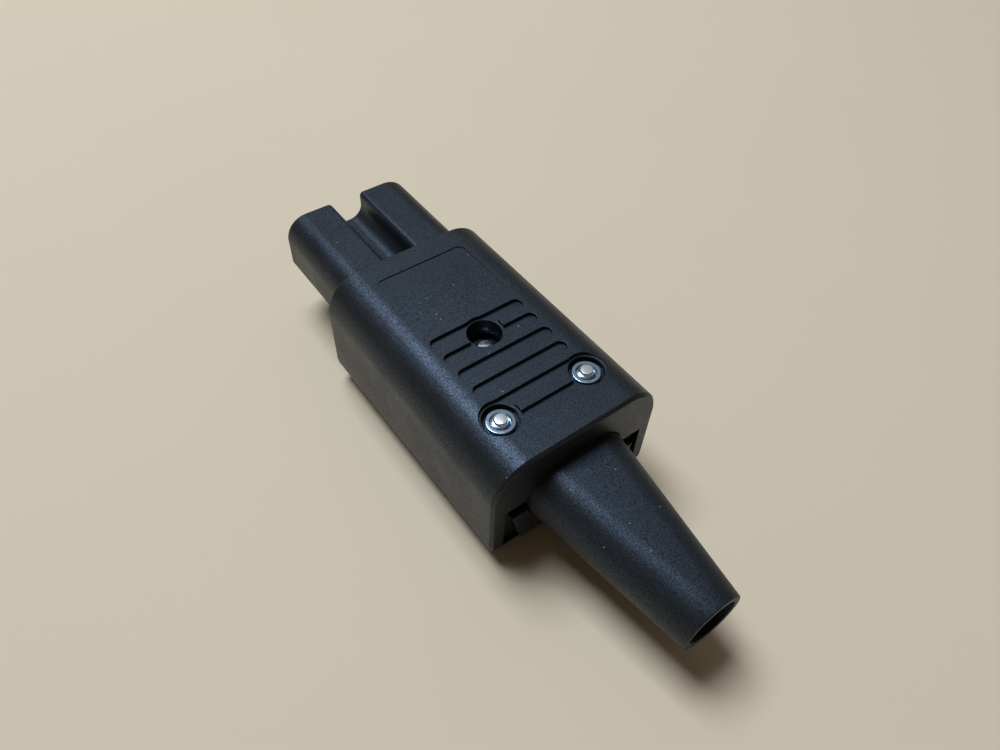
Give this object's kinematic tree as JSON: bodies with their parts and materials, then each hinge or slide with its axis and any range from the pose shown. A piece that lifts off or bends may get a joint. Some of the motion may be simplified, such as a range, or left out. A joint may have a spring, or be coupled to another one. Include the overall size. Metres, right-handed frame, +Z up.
{
  "type": "appliance cord connector",
  "caption": "Rewirable three-pole appliance cord connector with a keyed nose, a grooved plastic hood, screws in metal bushes and a tapered cord boot.",
  "frame": {"origin": "on the resting plane, under the middle of the whole length", "axes": "+X from the mating nose to the cord boot, +Y across, +Z up; the keyway is on top"},
  "size_m": [0.0926, 0.0298, 0.0216],
  "materials": {
    "housing_plastic": "fine spark-eroded texture, dark grey",
    "carrier_plastic": "finely textured, dark grey",
    "boot_rubber": "soft matte, dark grey",
    "contact_metal": "plated sheet",
    "terminal_brass": "drawn and sawn",
    "screw_steel": "bright zinc plating",
    "bush_metal": "bright nickel plating",
    "clamp_plastic": "plain moulded"
  },
  "bodies": {
    "root": {"hood": "housing_plastic", "lower_cover": "housing_plastic", "contact_carrier": "carrier_plastic", "boot": "boot_rubber", "contact_line": "contact_metal", "contact_neutral": "contact_metal", "contact_earth": "contact_metal", "terminal_line": "terminal_brass", "terminal_neutral": "terminal_brass", "terminal_earth": "terminal_brass", "terminal_screw_line": "screw_steel", "terminal_screw_neutral": "screw_steel", "terminal_screw_earth": "screw_steel", "cord_clamp": "clamp_plastic", "cord_clamp_screw_left": "screw_steel", "cord_clamp_screw_right": "screw_steel", "housing_screw_front": "screw_steel", "housing_screw_rear_left": "screw_steel", "housing_screw_rear_right": "screw_steel", "threaded_bush_front": "bush_metal", "threaded_bush_rear_left": "bush_metal", "threaded_bush_rear_right": "bush_metal"}
  },
  "joints": []
}
